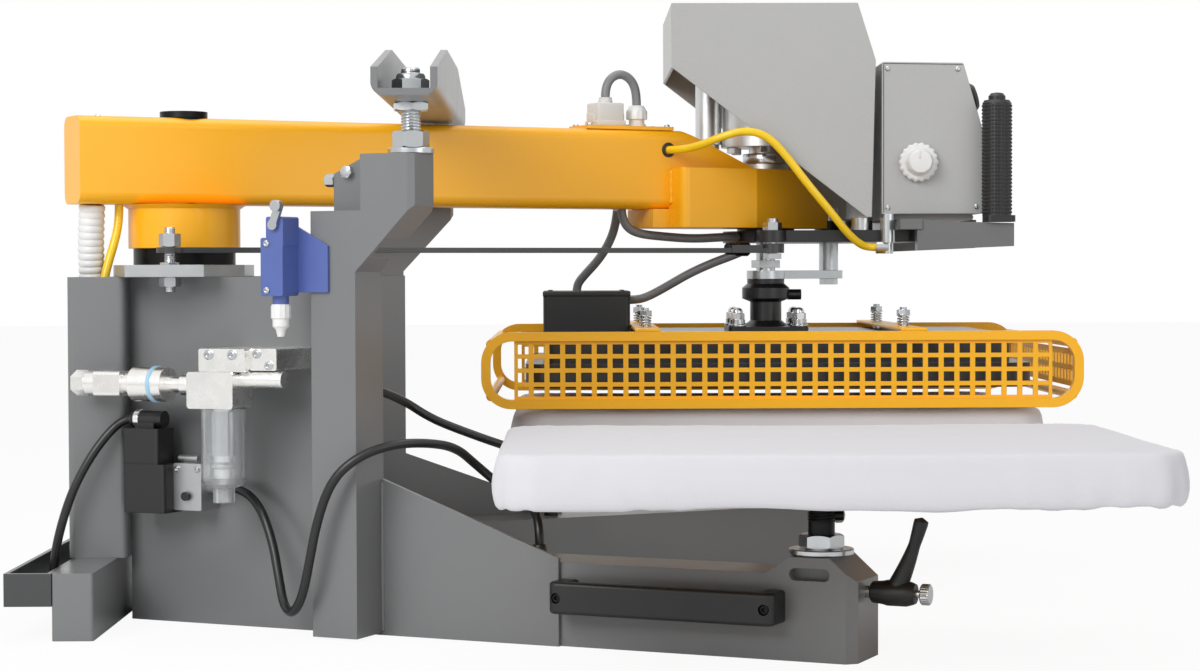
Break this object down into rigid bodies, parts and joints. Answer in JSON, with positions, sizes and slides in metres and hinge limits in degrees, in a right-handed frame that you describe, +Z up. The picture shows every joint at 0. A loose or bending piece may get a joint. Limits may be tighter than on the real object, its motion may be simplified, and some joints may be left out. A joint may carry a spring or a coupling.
{
  "type": "heat transfer press",
  "caption": "Two-station swing-arm pneumatic heat press: grey V-shaped base, yellow arm with silver head, caged heating platen and white padded tables.",
  "frame": {"origin": "on the floor, under the axis of the swing arm, at the centre of the bearing housing's floor disc", "axes": "+X from the rear column to the tables along the machine's middle line, +Y from the near station to the far station, +Z up"},
  "size_m": [0.99, 0.9516, 0.5855],
  "materials": {
    "frame_paint": "powder coat, warm mid grey, semi-gloss",
    "arm_paint": "powder coat, orange yellow, glossy",
    "guard_paint": "dipped coating, yellow",
    "hood_paint": "hammered silver grey",
    "zinc": "zinc plated",
    "steel": "turned steel",
    "black_steel": "black satin",
    "black_plastic": "moulded, fine grain",
    "grey_plastic": "moulded, light grey",
    "blue_plastic": "moulded, blue",
    "clear_plastic": "clear moulded bowl",
    "brass_nickel": "nickel plated brass",
    "aluminium": "cast plate",
    "board": "plywood",
    "cloth": "white woven cover over foam",
    "white_metal": "white turned knob",
    "red_plastic": "dark mushroom cap",
    "hose_yellow": "yellow polyurethane hose",
    "hose_white": "white ribbed conduit",
    "cable_grey": "grey cable sheath",
    "cable_black": "black sheath"
  },
  "bodies": {
    "base": {"rear_beam": "frame_paint", "rear_column": "frame_paint", "cable_tray": "black_steel", "side_panels": "frame_paint", "near_leg": "frame_paint", "far_leg": "frame_paint", "carry_handles": "black_plastic", "near_post": "frame_paint", "far_post": "frame_paint", "crossbar": "frame_paint", "bearing_housing": "frame_paint", "pivot_shaft": "black_steel", "frame_fasteners": "zinc", "limit_switch": "blue_plastic", "filter_head": "grey_plastic", "filter_bowl": "clear_plastic", "air_fittings": "brass_nickel", "valve_body": "zinc", "valve_coil": "black_plastic", "base_hoses": "cable_black"},
    "switch_arm": {"switch_lever": "zinc"},
    "sleeve": {"coupling_sleeve": "blue_plastic"},
    "override": {"override_button": "black_plastic"},
    "near_clamp": {"near_lever": "black_plastic"},
    "far_clamp": {"far_lever": "black_plastic"},
    "near_table": {"near_column": "zinc", "near_board": "board", "near_cover": "cloth"},
    "far_table": {"far_column": "zinc", "far_board": "board", "far_cover": "cloth"},
    "arm": {"arm_tube": "arm_paint", "pivot_hub": "arm_paint", "arm_nose": "arm_paint", "arm_connector": "grey_plastic", "connector_loop": "cable_grey", "conduit": "hose_white", "swing_hose": "hose_yellow", "nose_hose": "hose_yellow"},
    "head": {"cylinder": "steel", "head_plate": "black_steel", "head_cover": "hood_paint", "control_box": "hood_paint", "handle_bracket": "frame_paint", "grips": "black_plastic", "head_fittings": "zinc"},
    "knob": {"side_knob": "white_metal"},
    "stop": {"stop_button": "red_plastic"},
    "near_thumb": {"near_thumb_button": "black_plastic"},
    "far_thumb": {"far_thumb_button": "black_plastic"},
    "press": {"piston_rod": "steel", "torque_plate": "zinc", "platen_coupling": "black_steel", "heat_platen": "aluminium", "terminal_box": "black_plastic", "guard": "guard_paint", "guard_nets": "guard_paint", "spring_bolts": "zinc", "head_cables": "cable_grey"},
    "link": {"link_bar": "zinc"}
  },
  "joints": [
    {"name": "arm_swing", "type": "hinge", "parent": "base", "child": "arm", "pos_m": [0, 0, 0.36], "axis": [0, 0, 1], "range_deg": [-54.2, 0], "deforming": ["conduit", "swing_hose"]},
    {"name": "head_steer", "type": "hinge", "parent": "arm", "child": "head", "pos_m": [0.56439, 0.28881, 0.36], "axis": [0, 0, 1], "range_deg": [-0.2, 54.4], "deforming": ["nose_hose"]},
    {"name": "link_turn", "type": "hinge", "parent": "base", "child": "link", "pos_m": [0, -0.086, 0.3375], "axis": [0, 0, 1], "range_deg": [-54.4, 0.2]},
    {"name": "press_stroke", "type": "slide", "parent": "head", "child": "press", "axis": [0, 0, 1], "range_m": [-0.02, 0], "deforming": ["head_cables"]},
    {"name": "near_table_height", "type": "slide", "parent": "base", "child": "near_table", "axis": [0, 0, 1], "range_m": [-0.009, 0]},
    {"name": "far_table_height", "type": "slide", "parent": "base", "child": "far_table", "axis": [0, 0, 1], "range_m": [-0.009, 0]},
    {"name": "near_clamp_turn", "type": "hinge", "parent": "base", "child": "near_clamp", "pos_m": [0.5996, -0.30523, 0.056], "axis": [0.9063, -0.4226, 0], "range_deg": [-75, 75]},
    {"name": "far_clamp_turn", "type": "hinge", "parent": "base", "child": "far_clamp", "pos_m": [0.5996, 0.30523, 0.056], "axis": [0.9063, 0.4226, 0], "range_deg": [-75, 75]},
    {"name": "switch_lever_turn", "type": "hinge", "parent": "base", "child": "switch_arm", "pos_m": [0.10629, -0.19282, 0.358], "axis": [-0.4226, -0.9063, 0], "range_deg": [-15, 15], "stiffness_Nm_per_rad": 0.02},
    {"name": "sleeve_slide", "type": "slide", "parent": "base", "child": "sleeve", "axis": [0.9063, -0.4226, 0], "range_m": [0, 0.012], "stiffness_N_per_m": 200},
    {"name": "override_press", "type": "slide", "parent": "base", "child": "override", "axis": [0.4226, 0.9063, 0], "range_m": [0, 0.003], "stiffness_N_per_m": 200},
    {"name": "stop_press", "type": "slide", "parent": "head", "child": "stop", "axis": [-0.9603, 0, -0.2789], "range_m": [0, 0.003], "stiffness_N_per_m": 300},
    {"name": "near_thumb_press", "type": "slide", "parent": "head", "child": "near_thumb", "axis": [0, 0, -1], "range_m": [0, 0.003], "stiffness_N_per_m": 300},
    {"name": "far_thumb_press", "type": "slide", "parent": "head", "child": "far_thumb", "axis": [0, 0, -1], "range_m": [0, 0.003], "stiffness_N_per_m": 300},
    {"name": "knob_turn", "type": "hinge", "parent": "head", "child": "knob", "pos_m": [0.71, 0.18482, 0.4258], "axis": [0, -1, 0], "range_deg": [-150, 150]}
  ],
  "couplings": [
    {"joint": "head_steer", "follows": "arm_swing", "ratio": -1},
    {"joint": "link_turn", "follows": "arm_swing", "ratio": 1}
  ]
}
